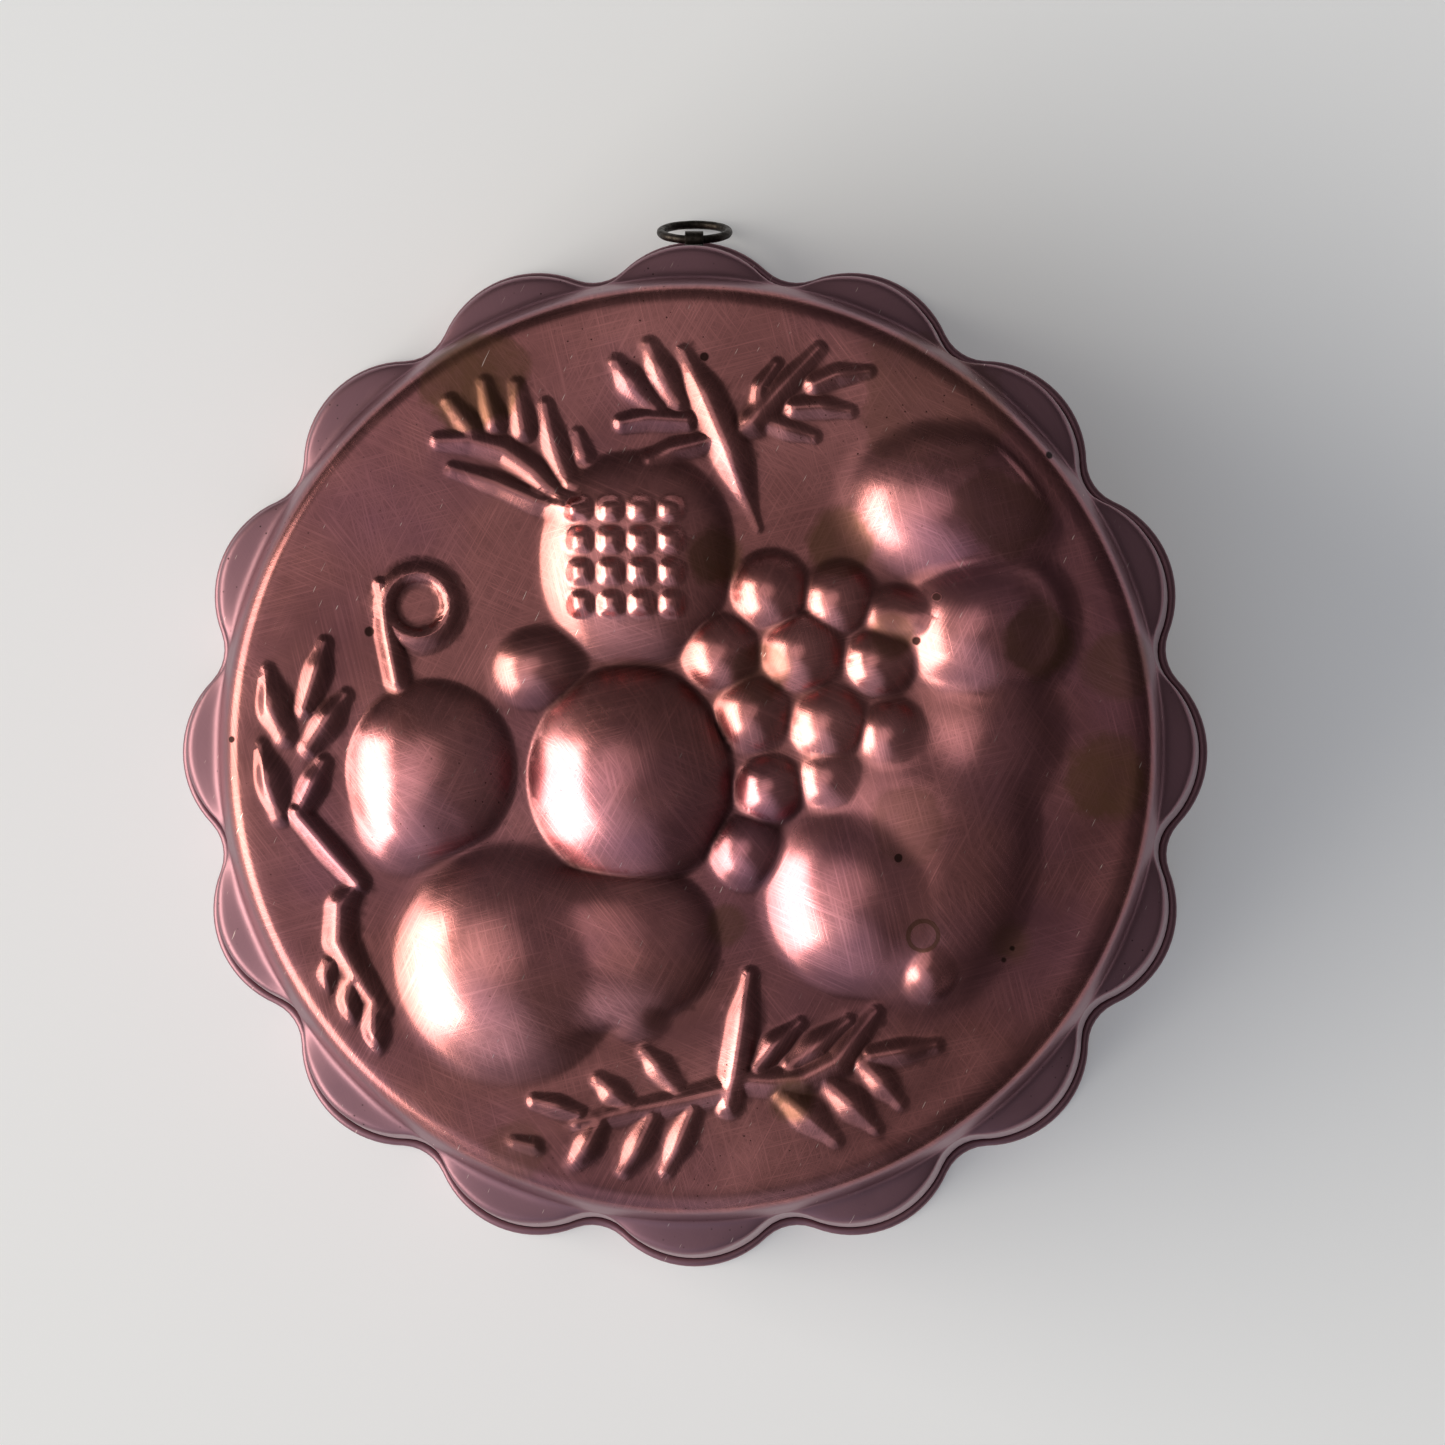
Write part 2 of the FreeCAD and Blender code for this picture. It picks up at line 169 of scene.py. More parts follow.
TOP_SPRIG = [
    (1.68, [(-0.8, 50.4, 1.4), (2.2, 44.4, 2.9), (5.0, 37.8, 3.2), (8.7, 27.8, 0.9)]),
    (1.08, [(-9.4, 49.0, 1.7), (-7.4, 46.4, 2.7), (-4.4, 43.2, 1.9)]),
    (1.08, [(-5.2, 51.2, 1.7), (-3.6, 47.6, 2.7), (-1.4, 43.8, 2.0)]),
    (0.92, [(-8.6, 41.3, 1.7), (-5.4, 41.9, 2.0), (-0.4, 41.6, 1.9)]),
    (0.84, [(-5.2, 37.0, 1.5), (-2.0, 37.9, 2.0), (2.6, 39.0, 1.9)]),
    (1.15, [(5.8, 39.8, 1.7), (8.2, 41.6, 2.6), (11.2, 45.2, 2.2), (16.4, 50.8, 1.4)]),
    (0.76, [(8.6, 42.8, 1.8), (9.0, 45.8, 1.7), (11.0, 48.8, 1.2)]),
    (0.84, [(15.9, 46.2, 1.9), (18.6, 47.4, 1.9), (22.8, 47.9, 1.2)]),
    (0.84, [(13.4, 43.2, 2.0), (16.4, 43.4, 2.0), (20.4, 42.8, 1.3)]),
    (0.69, [(9.2, 41.6, 1.7), (12.2, 40.6, 1.9), (15.8, 39.6, 1.3)]),
]
LEFT_SPRIG = [
    (1.46, [(-54.4, 9.4, 2.3), (-53.2, 5.6, 3.3), (-51.5, 1.6, 2.2)]),
    (1.37, [(-55.0, 0.0, 2.0), (-53.6, -3.8, 3.2), (-52.0, -8.6, 2.0)]),
    (1.15, [(-46.5, 13.2, 1.5), (-47.4, 9.6, 2.4), (-48.9, 5.0, 2.0)]),
    (1.15, [(-43.8, 6.6, 1.5), (-46.0, 3.6, 2.7), (-48.4, 0.0, 2.0)]),
    (1.15, [(-46.6, -2.0, 1.7), (-47.8, -4.6, 2.4), (-49.4, -8.0, 2.0)]),
    (1.22, [(-49.8, -8.4, 2.0), (-45.8, -13.0, 2.2), (-42.0, -17.2, 1.9)]),
    (1.46, [(-42.2, -17.4, 1.7), (-44.3, -20.2, 2.6), (-44.4, -24.6, 2.8), (-42.0, -29.0, 2.4),
            (-38.9, -33.4, 1.7)]),
    (1.08, [(-45.6, -27.6, 1.8), (-47.2, -30.6, 2.4), (-47.9, -34.4, 1.7)]),
    (1.08, [(-43.0, -30.0, 1.9), (-43.6, -33.4, 2.4), (-45.0, -37.6, 1.5)]),
    (1.08, [(-39.9, -32.8, 1.9), (-39.9, -36.4, 2.4), (-40.6, -40.2, 1.5)]),
]
BOTTOM_SPRIG = [
    (1.60, [(7.6, -28.8, 1.5), (6.7, -35.0, 2.6), (5.8, -41.0, 2.7), (4.9, -45.2, 2.3)]),
    (1.08, [(5.0, -43.4, 2.6), (-1.0, -44.8, 2.3), (-7.0, -46.0, 2.0), (-14.2, -47.6, 1.5)]),
    (1.37, [(5.4, -42.0, 2.4), (10.4, -42.4, 2.4), (14.4, -42.0, 2.7), (18.6, -39.8, 2.8),
            (23.6, -33.6, 1.5)]),
    (0.84, [(-19.6, -44.8, 1.5), (-16.8, -45.4, 1.9), (-14.0, -46.4, 1.5)]),
    (0.99, [(-11.4, -42.2, 1.7), (-9.8, -43.6, 2.4), (-7.6, -45.4, 1.8)]),
    (0.92, [(-5.6, -38.6, 1.5), (-4.0, -40.4, 2.3), (-1.6, -43.4, 1.8)]),
    (1.08, [(-15.2, -53.6, 1.5), (-12.8, -50.2, 2.4), (-11.4, -47.6, 1.8)]),
    (1.08, [(-8.4, -53.8, 1.5), (-6.4, -50.4, 2.4), (-4.8, -47.0, 1.9)]),
    (1.08, [(-3.0, -53.6, 1.4), (-1.2, -49.8, 2.3), (0.4, -46.0, 1.9)]),
    (0.61, [(-22.2, -50.4, 1.8), (-19.8, -50.6, 1.8)]),
    (1.15, [(8.6, -40.6, 1.9), (10.8, -37.8, 2.3), (14.0, -35.0, 1.3)]),
    (1.15, [(12.8, -40.4, 2.0), (16.0, -38.0, 2.6), (20.2, -34.8, 1.5)]),
    (0.92, [(23.0, -39.2, 2.0), (26.6, -38.6, 2.2), (31.2, -37.8, 1.4)]),
    (1.22, [(11.6, -43.8, 2.0), (14.8, -46.4, 2.8), (18.4, -49.6, 1.5)]),
    (1.15, [(17.4, -42.4, 2.0), (20.6, -45.2, 2.7), (23.6, -48.2, 1.4)]),
    (0.99, [(22.0, -40.0, 1.9), (24.4, -42.4, 2.4), (26.6, -45.0, 1.4)]),
]
CURL = (-34.6, 18.0)
# The curl at the end of the apple's stalk: radius from its centre, then height, either side of its crest.
CURL_SECTION = [(2.2, 0.0), (2.8, 0.15), (3.5, 0.8), (4.1, 1.05), (4.7, 0.85), (5.7, 0.2), (6.5, 0.0)]
FAR_BELOW = -9.0          # lower than any dome reaches
RELIEF_R = 56.2           # where the relief has run out
RELIEF_FADE = 2.2         # over how much it does so


def smooth_max(a, b, blend):
    """The higher of two surfaces, with a fillet where they meet."""
    near = np.maximum(blend - np.abs(a - b), 0.0) / blend
    return np.maximum(a, b) + near * near * blend * 0.25


def dome(x, y, cx, cy, rx, ry, turn, height, power=2.0, square=2.0):
    """A domed cap that goes on down past its foot, so that a fillet can join it to the flat."""
    c, s = math.cos(math.radians(turn)), math.sin(math.radians(turn))
    u = np.abs((x - cx) * c + (y - cy) * s) / rx
    v = np.abs((y - cy) * c - (x - cx) * s) / ry
    rho = (u ** square + v ** square) ** (1 / square)
    inner = np.minimum(rho, 1.0)
    return height * (1 - inner ** power - power * (rho - inner))


def ridge(x, y, height, points):
    """A softly rounded ridge along its points, lower where it is narrower."""
    widest = max(w for px, py, w in points)
    best = np.zeros_like(x)
    for (x0, y0, w0), (x1, y1, w1) in zip(points, points[1:]):
        dx, dy = x1 - x0, y1 - y0
        t = np.clip(((x - x0) * dx + (y - y0) * dy) / (dx * dx + dy * dy), 0, 1)
        width = w0 + (w1 - w0) * t * t * (3 - 2 * t)
        off = np.minimum(np.hypot(x - x0 - t * dx, y - y0 - t * dy) / width, 1.0)
        best = np.maximum(best, height * (width / widest) ** 1.8 * (0.5 + 0.5 * np.cos(math.pi * off)))
    return best


def sprig(x, y, ridges):
    """Ridges that run into each other softly where they meet."""
    return sum(ridge(x, y, height, points) ** 4 for height, points in ridges) ** 0.25


def lay_on(h, x, y, fruit):
    """The surface with one more fruit on it."""
    *shape, blend = fruit
    return smooth_max(h, dome(x, y, *shape), blend)


def pineapple_studs(x, y):
    """Height of the squarish studs that cover the body of the pineapple."""
    studs = np.zeros_like(x)
    for row in range(STUD_ROWS):
        for column in range(STUD_ROWS):
            sx = STUD_START[0] + column * STUD_PITCH[0] + row * STUD_DRIFT
            sy = STUD_START[1] + row * STUD_PITCH[1]
            corner = np.abs(x - sx) ** STUD_SQUARE + np.abs(y - sy) ** STUD_SQUARE
            flank = np.minimum(corner ** (1 / STUD_SQUARE) / STUD_R, 1.0) ** STUD_STEEP
            studs = np.maximum(studs, STUD_HEIGHT * (0.5 + 0.5 * np.cos(math.pi * flank)))
    return studs


def waviness(x, y):
    """Shallow waves of less than 0.1 mm, since hand-worked sheet is never quite flat."""
    return 0.05 * np.sin(x * 0.21 + 1.3) * np.sin(y * 0.17 - 0.4) + 0.03 * np.sin(x * 0.37 - y * 0.29)


def relief(x, y):
    """Height of the pressed sheet over the flat top, x and y arrays in mm."""
    h = np.zeros_like(x)
    for fruit in FRUIT[:UNDER_GRAPES]:
        h = lay_on(h, x, y, fruit)
    h = lay_on(h, x, y, GRAPE_BED)
    bunch = np.full_like(x, FAR_BELOW)
    for gx, gy, r, height in GRAPES:
        bunch = smooth_max(bunch, dome(x, y, gx, gy, r, r, 0, height), GRAPE_BLEND)
    h = h + smooth_max(np.zeros_like(x), bunch, GRAPE_BLEND)
    for fruit in FRUIT[UNDER_GRAPES:]:
        h = lay_on(h, x, y, fruit)
    h = h + pineapple_studs(x, y) + sprig(x, y, TOP_SPRIG + CROWN + LEFT_SPRIG + BOTTOM_SPRIG)
    out = np.hypot(x - CURL[0], y - CURL[1])
    radii, heights = zip(*CURL_SECTION)
    share = np.interp(out, radii, heights)
    h = h + np.maximum(share, sprig(x, y, APPLE_STALK))
    fade = np.clip((RELIEF_R - np.hypot(x, y)) / RELIEF_FADE, 0, 1)
    return (h + waviness(x, y)) * fade * fade * (3 - 2 * fade)


def relief_slope(x, y, step=0.03):
    """How steeply the relief rises along x and along y."""
    return ((relief(x + step, y) - relief(x - step, y)) / (2 * step),
            (relief(x, y + step) - relief(x, y - step)) / (2 * step))


# ---------------------------------------------------------------- the bell's section, in mm

LOBES = 16
FLAT_R = 56.6
TOP_Z = 50.0
TOP_ROUND = 3.2
TOP_TURN = 72             # degrees from the flat top over to the collar
COLLAR_FOOT = (61.1, 43.4)
LEDGE_PEAK, LEDGE_VALLEY, LEDGE_Z = 65.5, 61.3, 42.8
BEAD_PEAK, BEAD_VALLEY = 73.4, 68.9
WIRE_R = 0.4
BEAD_Z = 0.72
VALLEY_RATIO = 0.45       # a hollow arc's radius over a flute's
ROLL_END = 122            # degrees, where the rolled edge ends against the wall
# The corners at both ends of the ledge are softened by a share of its width, within limits in mm. The
# collar's and the wall's own lengths, in mm, turn that into a share of each.
SOFT_SHARE, SOFT_LEAST, SOFT_MOST = 0.32, 0.12, 1.2
NARROWEST_LEDGE = 0.3
COLLAR_RUN, WALL_RUN = 4.9, 42.0
FOOT_OUT, EDGE_IN, EDGE_DOWN = 0.9, 0.8, 1.1
TOUCH_GAP = 0.01          # mm, keeps a skin off the surface that it would share
TIN_GAP = 0.03            # mm, between the copper and the back of the tin
MERGE = 0.02              # mm, closes the seams between a skin's parts
SEAM_KEPT = 0.7           # mm, the band at the flat top's edge that is not refined
HOLLOW_REACH = 1.3        # mm, how far round a point its surroundings are compared with it


def lobed(angle, peak, valley, inset=0.0):
    """Radius of the fluted outline at each angle: sixteen wide arcs joined by tighter hollow ones."""
    half = math.pi / LOBES
    turn = math.cos(half)
    a = 2 * VALLEY_RATIO * (turn - 1)
    b = -2 * peak + 2 * VALLEY_RATIO * valley - 2 * turn * (VALLEY_RATIO * peak - valley)
    c = peak * peak + valley * valley - 2 * peak * valley * turn
    flute = (-b - math.sqrt(b * b - 4 * a * c)) / (2 * a)
    hollow = VALLEY_RATIO * flute
    near, far = peak - flute, valley + hollow
    share = flute / (flute + hollow)
    meet = math.atan2(far * math.sin(half) * share, near + (far * turn - near) * share)
    p = np.abs((angle - math.pi / 2 + half) % (2 * half) - half)
    q = half - p
    crown = near * np.cos(p) + np.sqrt(np.maximum((flute - inset) ** 2 - (near * np.sin(p)) ** 2, 0))
    low = far * np.cos(q) - np.sqrt(np.maximum((hollow + inset) ** 2 - (far * np.sin(q)) ** 2, 0))
    return np.where(p <= meet, crown, low)


def bend(a, b, c, t):
    """A point on the rounded corner from a to c about b."""
    return tuple((1 - t) ** 2 * i + 2 * t * (1 - t) * j + t * t * k for i, j, k in zip(a, b, c))


def toward(a, b, amount):
    return tuple(i + (j - i) * amount for i, j in zip(a, b))


def wall_rings(angle, inset, steps):
    """Rings of (radius, height) from the flat top's edge down to the rim, for a skin inset by so much."""
    even = 0 * angle
    foot = (COLLAR_FOOT[0] - inset + even, COLLAR_FOOT[1] - inset + even)
    edge = (lobed(angle, LEDGE_PEAK, LEDGE_VALLEY, inset), LEDGE_Z - inset + even)
    rim = (lobed(angle, BEAD_PEAK - WIRE_R, BEAD_VALLEY - WIRE_R, inset), BEAD_Z + even)
    arc, collar, fillet, ledge, corner, wall = steps
    rings = []
    radius = TOP_ROUND - inset
    for i in range(1, arc + 1):
        a = math.radians(90 - TOP_TURN * i / arc)
        height = TOP_Z - TOP_ROUND + radius * math.sin(a)
        rings.append((FLAT_R + radius * math.cos(a) + even, height + even))
    top = rings[-1]
    ledge_width = edge[0] - foot[0]
    soft = np.clip(ledge_width * SOFT_SHARE, SOFT_LEAST, SOFT_MOST)
    share = soft / np.maximum(ledge_width, NARROWEST_LEDGE)
    above = toward(foot, top, soft / COLLAR_RUN)
    beyond = toward(foot, edge, share * FOOT_OUT)
    before = toward(edge, foot, share * EDGE_IN)
    below = toward(edge, rim, soft * EDGE_DOWN / WALL_RUN)
    rings += [toward(top, above, i / collar) for i in range(1, collar + 1)]
    rings += [bend(above, foot, beyond, i / fillet) for i in range(1, fillet + 1)]
    rings += [toward(beyond, before, i / ledge) for i in range(1, ledge + 1)]
    rings += [bend(before, edge, below, i / corner) for i in range(1, corner + 1)]
    rings += [toward(below, rim, i / wall) for i in range(1, wall + 1)]
    return rings


def roll_rings(angle, radius, start, end, steps):
    """Rings round the rim's wire at one distance from its centre, flat where the rim stands."""
    centre = lobed(angle, BEAD_PEAK, BEAD_VALLEY)
    rings = []
    for i in range(steps + 1):
        a = math.radians(start + (end - start) * i / steps)
        height = np.maximum(BEAD_Z + radius * math.sin(a), 0)
        rings.append((centre + radius * math.cos(a), height + 0 * angle))
    return rings


# ---------------------------------------------------------------- meshes

def finish_piece(bm, name, body, materials, node, smooth=60.0):
    """Make the bmesh an object that rides on its body and stands for its node."""
    mesh = bpy.data.meshes.new(name)
    bm.to_mesh(mesh)
    bm.free()
    mesh.shade_smooth()
    mesh.set_sharp_from_angle(angle=math.radians(smooth))
    for material in materials:
        mesh.materials.append(material)
    piece = bpy.data.objects.new(name, mesh)
    bpy.context.collection.objects.link(piece)
    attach(piece, body)
    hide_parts(node)
    return piece


def coordinates(verts):
    return np.array([v.co[:] for v in verts])


def disc(bm, columns):
    """An even disc of triangles, radius FLAT_R, with as many points on its edge as the wall has columns.
    It starts as a hexagon, whose rings are then pushed out to circles."""
    made = bmesh.ops.create_circle(bm, cap_ends=True, cap_tris=True, segments=6, radius=FLAT_R)["verts"]
    faces = {f for v in made for f in v.link_faces}
    edges = list({e for f in faces for e in f.edges})
    bmesh.ops.subdivide_edges(bm, edges=edges, cuts=columns // 6 - 1, use_grid_fill=True)
    verts = bm.verts[:]
    flat = coordinates(verts)
    angle = (np.arctan2(flat[:, 1], flat[:, 0]) - math.pi / 6) % (2 * math.pi)
    sector = np.floor(angle / (math.pi / 3) + 1e-6)
    within = angle - sector * math.pi / 3
    size = np.hypot(flat[:, 0], flat[:, 1])
    along = size * np.sin(within) / math.sin(math.pi / 3)
    hexed = size * np.cos(within) + size * np.sin(within) / math.tan(math.pi / 3)
    share = np.where(hexed > 1e-6, along / np.maximum(hexed, 1e-6), 0)
    turned = (sector + share) * math.pi / 3 + math.pi / 6
    for v, r, a in zip(verts, hexed, turned):
        v.co = (r * math.cos(a), r * math.sin(a), 0)


def refine(bm, tolerance, rounds):
    """Split the edges whose middle the relief leaves by more than the tolerance."""
    for i in range(rounds):
        edges = bm.edges[:]
        a = np.array([e.verts[0].co[:2] for e in edges])
        b = np.array([e.verts[1].co[:2] for e in edges])
        middle = (a + b) / 2
        sag = np.abs(relief(*middle.T) - (relief(*a.T) + relief(*b.T)) / 2)
        inside = np.hypot(*middle.T) < FLAT_R - SEAM_KEPT
        split = [e for e, s, keep in zip(edges, sag, inside) if keep and s > tolerance]
        bmesh.ops.subdivide_edges(bm, edges=split, cuts=1, use_grid_fill=True)
        bmesh.ops.triangulate(bm, faces=[f for f in bm.faces if len(f.verts) > 3])


def press(bm, inset):
    """Lift a flat disc into the relief, on the skin that is inset by so much. Each vertex is given how far
    it lies below its surroundings and how far it is raised over the flat."""
    hollow = bm.verts.layers.float.new("hollow")
    raised = bm.verts.layers.float.new("raised")
    verts = bm.verts[:]
    flat = coordinates(verts)
    x, y = flat[:, 0], flat[:, 1]
    h = relief(x, y)
    sx, sy = relief_slope(x, y)
    length = np.sqrt(1 + sx * sx + sy * sy)
    px, py, pz = x + sx * inset / length, y + sy * inset / length, TOP_Z + h - inset / length
    reach = HOLLOW_REACH
    around = (relief(x + reach, y) + relief(x - reach, y) + relief(x, y + reach) + relief(x, y - reach)) / 4
    for v, vx, vy, vz, below, up in zip(verts, px, py, pz, around - h, h):
        v.co = (vx, vy, vz)
        v[hollow] = below
        v[raised] = up


def open_edge(bm, z_low, z_high):
    """The edges of the open border between two heights."""
    return [e for e in bm.edges if e.is_boundary and z_low <= e.verts[0].co.z <= z_high]


def extrude_rings(bm, edges, rings, angles):
    """Carry an open edge on through rings of (radius, height)."""
    for radius, height in rings:
        made = bmesh.ops.extrude_edge_only(bm, edges=edges)["geom"]
        verts = [g for g in made if isinstance(g, bmesh.types.BMVert)]
        edges = [g for g in made if isinstance(g, bmesh.types.BMEdge) and g.is_boundary]
        verts.sort(key=lambda v: math.atan2(v.co.y, v.co.x) % (2 * math.pi))
        for v, r, z, a in zip(verts, radius, height, angles):
            v.co = (r * math.cos(a), r * math.sin(a), z)
    return edges


def ring_angles(columns):
    return np.arange(columns) * 2 * math.pi / columns


def add_top(bm, columns, inset, tolerance, rounds):
    """Add a pressed top on the skin at that inset to the bmesh."""
    part = bmesh.new()
    disc(part, columns)
    if rounds:
        refine(part, tolerance, rounds)
    press(part, inset)
    keep = bpy.data.meshes.new("top")
    part.to_mesh(keep)
    part.free()
    bm.from_mesh(keep)
    bpy.data.meshes.remove(keep)


def to_metres(bm):
    bmesh.ops.scale(bm, vec=(MM, MM, MM), verts=bm.verts)


def close_skin(bm):
    """Merge the seams, face everything outward and go over to metres."""
    bmesh.ops.remove_doubles(bm, verts=bm.verts, dist=MERGE)
    bmesh.ops.recalc_face_normals(bm, faces=bm.faces)
    to_metres(bm)


# ---------------------------------------------------------------- materials

def add(tree, kind, inputs=None, **settings):
    """Add a node with its settings, each input either a fixed value or a link from another node."""
    made = tree.nodes.new(kind)
    for key, value in settings.items():
        setattr(made, key, value)
    for key, value in (inputs or {}).items():
        if isinstance(value, bpy.types.NodeSocket):
            tree.links.new(value, made.inputs[key])
        else:
            made.inputs[key].default_value = value
    return made


def remap(tree, value, low=0.0, high=1.0, to_low=0.0, to_high=1.0, **settings):
    """Carry a value over from one range to another, held at both ends."""
    span = {"Value": value, "From Min": low, "From Max": high, "To Min": to_low, "To Max": to_high}
    return add(tree, "ShaderNodeMapRange", span, **settings).outputs[0]


def maths(tree, operation, *values):
    return add(tree, "ShaderNodeMath", dict(enumerate(values)), operation=operation).outputs[0]


def highest(tree, parts):
    """The strongest of several masks at each place."""
    top = parts[0]
    for part in parts[1:]:
        top = maths(tree, "MAXIMUM", top, part)
    return top


def blended(tree, share, a, b):
    """Colour a where the share is 0 and colour b where it is 1."""
    return add(tree, "ShaderNodeMix", {0: share, 6: a, 7: b}, data_type="RGBA").outputs[2]


def scaled(tree, colour, factor):
    """A colour made lighter or darker."""
    return add(tree, "ShaderNodeVectorMath", {0: colour, 3: factor}, operation="SCALE").outputs[0]


def clouds(tree, place, size, detail, roughness=0.5, distortion=0.0):
    """Soft noise with features of about that size."""
    inputs = {"Vector": place, "Scale": 1 / size, "Detail": detail, "Roughness": roughness,
              "Distortion": distortion}
    return add(tree, "ShaderNodeTexNoise", inputs).outputs[0]


def stretched(tree, place, size, turn=0.0, shift=(0, 0, 0)):
    """Texture space stretched by that size in mm along each axis and turned by so many degrees."""
    inputs = {"Vector": place, "Location": [v * MM for v in shift], "Rotation": (0, 0, math.radians(turn)),
              "Scale": [v * MM for v in size]}
    return add(tree, "ShaderNodeMapping", inputs, vector_type="TEXTURE").outputs[0]


def distance(tree, above, x, y):
    """How far a place is from (x, y) in mm, seen from straight above."""
    return add(tree, "ShaderNodeVectorMath", {0: above, 1: (x * MM, y * MM, 0)},
               operation="DISTANCE").outputs["Value"]


def finish_metal(tree, base, rough, height, strength, depth):
    """Close a material as bare metal, with a surface uneven by up to the depth in mm."""
    bump = add(tree, "ShaderNodeBump", {"Height": height, "Strength": strength, "Distance": depth * MM})
    shader = add(tree, "ShaderNodeBsdfPrincipled", {"Metallic": 1.0, "Base Color": base, "Roughness": rough,
                                                    "Normal": bump.outputs[0]})
    add(tree, "ShaderNodeOutputMaterial", {"Surface": shader.outputs[0]})


def new_material(name):
    material = bpy.data.materials.new(name)
    material.use_nodes = True
    tree = material.node_tree
    tree.nodes.clear()
    return material, tree


def rgba(colour):
    return (*colour, 1.0)


# Direction in degrees, width and length in mm, and a seed. They are drawn about four times as wide as
# such lines would be, so that they show.
HAIRLINES = (
    (62, 0.20, 9.0, 1.3), (-24, 0.18, 8.0, 4.1), (104, 0.22, 12.0, 9.7), (14, 0.18, 9.0, 14.2),
    (-52, 0.2, 10.0, 21.5),
)
UPRIGHT = 22              # mm, how far a hairline runs up the wall
NICK_SIZE = (2.6, 0.22, 3)
NICK_TURN = 64
NICK_COLOUR = (0.95, 0.75, 0.68)
# Stains on the copper: x, y and radius in mm, strength, and how ragged the edge is.
OLIVE_STAINS = [
    (2.9, 23.9, 2.9, 0.75, 0.6), (43.8, 13.4, 4.2, 0.7, 0.45), (53.0, -4.4, 4.6, 0.7, 0.7),
    (54.4, 10.6, 3.6, 0.5, 0.7), (27.6, -9.6, 4.2, 0.45, 0.5), (39.5, 29.5, 5.0, 0.5, 0.7),
    (-27.5, 46.5, 6.0, 0.75, 0.5), (13.0, -44.5, 2.2, 0.8, 0.6), (19.0, 26.0, 4.0, 0.6, 0.5),
    (40.8, -24.8, 1.8, 0.5, 0.8), (9.0, 9.5, 3.2, 0.6, 0.5), (31.0, 44.0, 9.0, 0.35, 0.6),
    (25.6, 14.0, 2.4, 0.7, 0.5), (-22.0, -51.0, 3.0, 0.35, 0.6), (4.5, -22.5, 2.0, 0.6, 0.5),
]
STAIN_WANDER = 2.4        # how far the noise pushes a ragged edge about, in radii
STAIN_EDGE = 2.2          # mm, the width of the softest edge
DRIED_DROP = (29.3, -23.8)
DROP_R, DROP_LINE, DROP_WANDER = 2.3, 0.28, 0.8
BLACK_SPOTS = [
    (31.1, 18.9, 0.5), (-40.8, 14.7, 0.55), (45.9, 37.4, 0.45), (26.2, -14.0, 0.45), (28.6, 13.4, 0.6),
    (-58.4, 1.0, 0.4), (1.8, 49.8, 0.5), (40.9, -25.5, 0.5), (39.8, -27.0, 0.5),
]
PIT_PITCH = 1.4           # mm


def hairlines(tree, place):
    """Fine lines, 8 to 12 mm long, in directions that take turns over the top."""
    parts = []
    for turn, across, along, seed in HAIRLINES:
        lay = stretched(tree, place, (along, across, UPRIGHT), turn, (seed, seed, 0))
        lines = clouds(tree, lay, 1.0, 2.0, distortion=0.2)
        patch = add(tree, "ShaderNodeMapping", {"Vector": place, "Location": (seed, -seed, seed)}).outputs[0]
        where = clouds(tree, patch, 14 * MM, 1.0)
        mask = remap(tree, where, 0.4, 0.6)
        sharp = remap(tree, lines, 0.44, 0.7)
        parts.append(maths(tree, "MULTIPLY", sharp, mask))
    return highest(tree, parts)


def olive_stains(tree, above, cloudy):
    """Speckled, ragged stains, and a drop of water that dried to a small ring on the pear."""
    spots = []
    for x, y, radius, strength, ragged in OLIVE_STAINS:
        away = distance(tree, above, x, y)
        wander = maths(tree, "MULTIPLY", cloudy, ragged * radius * MM * STAIN_WANDER)
        edge = maths(tree, "ADD", away, wander)
        reach = (radius + ragged * radius * STAIN_WANDER / 2) * MM
        soft = 0.25 + ragged * 0.5
        spots.append(remap(tree, edge, reach + STAIN_EDGE * MM * soft, reach, to_high=strength))
    speckle = remap(tree, cloudy, 0.34, 0.6, to_low=0.6)
    stain = maths(tree, "MULTIPLY", highest(tree, spots), speckle)
    away = distance(tree, above, *DRIED_DROP)
    wavy = maths(tree, "MULTIPLY_ADD", cloudy, DROP_WANDER * MM, away)
    mark = maths(tree, "COMPARE", wavy, DROP_R * MM, DROP_LINE * MM)
    mark = maths(tree, "MULTIPLY", mark, 0.7)
    return maths(tree, "MAXIMUM", stain, mark)


def dirt_and_crease_shade(tree, place, above, broad, cloudy):
    """Dirt and painted shade in the creases, a few black spots, and patches of pits about 0.25 mm across."""
    hollow = add(tree, "ShaderNodeAttribute", attribute_name="hollow").outputs["Fac"]
    # Darker in patches where the sheet lies below its surroundings: partly dirt, partly painted shade in the
    # creases.
    crease_dirt_and_shade = remap(tree, hollow, 0.1, 0.5, to_high=0.92)
    worn = remap(tree, cloudy, 0.25, 0.62)
    dark = [maths(tree, "MULTIPLY", crease_dirt_and_shade, worn)]
    for x, y, radius in BLACK_SPOTS:
        away = distance(tree, above, x, y)
        ragged = maths(tree, "MULTIPLY_ADD", cloudy, radius * MM * 2, away)
        dark.append(remap(tree, ragged, radius * 2.2 * MM, radius * 1.8 * MM, to_high=0.9))
    pits = add(tree, "ShaderNodeTexVoronoi", {"Vector": place, "Scale": 1 / (PIT_PITCH * MM)})
    pit = remap(tree, pits.outputs["Distance"], 0.11, 0.07)
    pitted = remap(tree, broad, 0.5, 0.62, to_high=0.8)
    dark.append(maths(tree, "MULTIPLY", pit, pitted))
    return highest(tree, dark)


